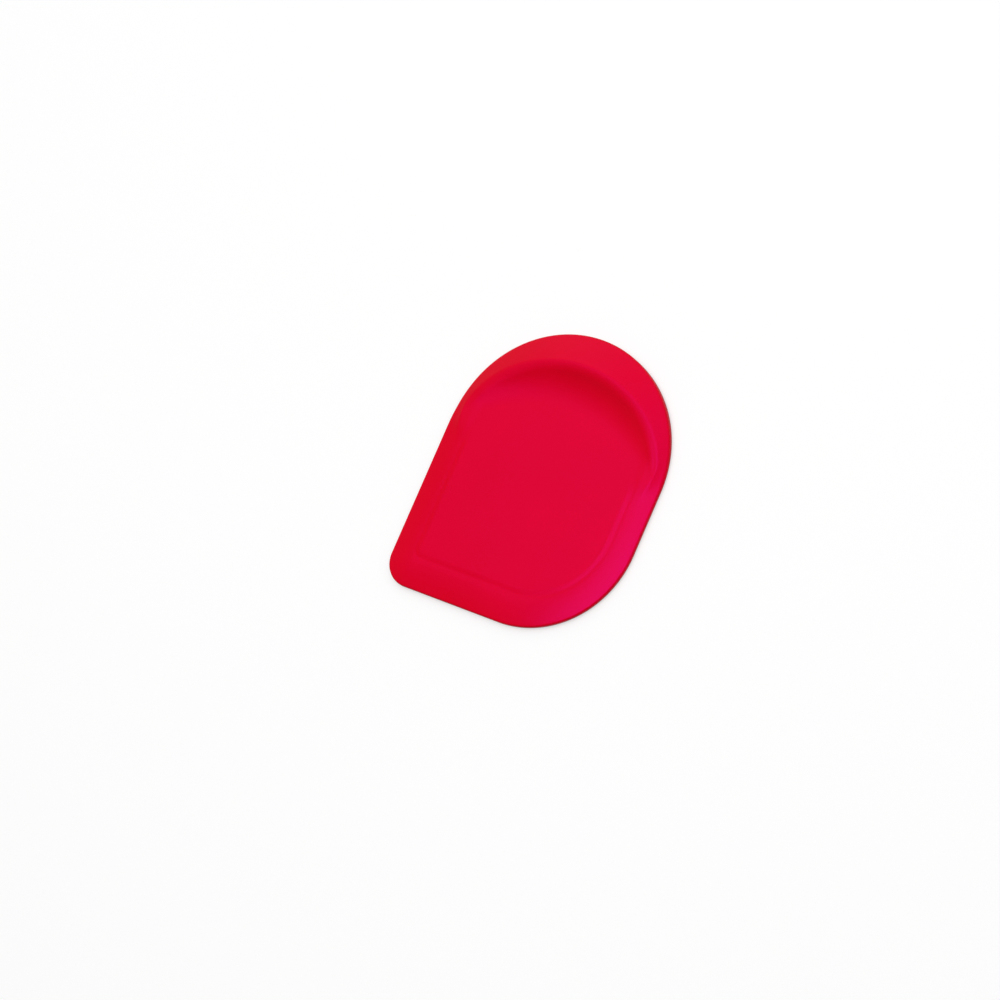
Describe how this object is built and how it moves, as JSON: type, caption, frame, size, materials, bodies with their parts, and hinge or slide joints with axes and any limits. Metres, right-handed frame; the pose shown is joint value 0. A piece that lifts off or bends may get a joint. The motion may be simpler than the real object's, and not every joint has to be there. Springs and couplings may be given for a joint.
{
  "type": "pan scraper",
  "caption": "One-hand pan scraper: arched soft plate over a stiff core, crescent grip ridge with a finger hollow, thin scraping lip with a small and a large corner.",
  "frame": {"origin": "centre of the bounding box in X and Y, at the flat back that the scraper lies on", "axes": "+X across the face to the side of the large corner, +Y from the scraping edge to the top of the grip, +Z out of the face"},
  "size_m": [0.09, 0.1084, 0.0089],
  "materials": {
    "silicone": "satin, soft touch",
    "core_nylon": "matte"
  },
  "bodies": {
    "root": {"overmould": "silicone", "core_plate": "core_nylon"}
  },
  "joints": []
}
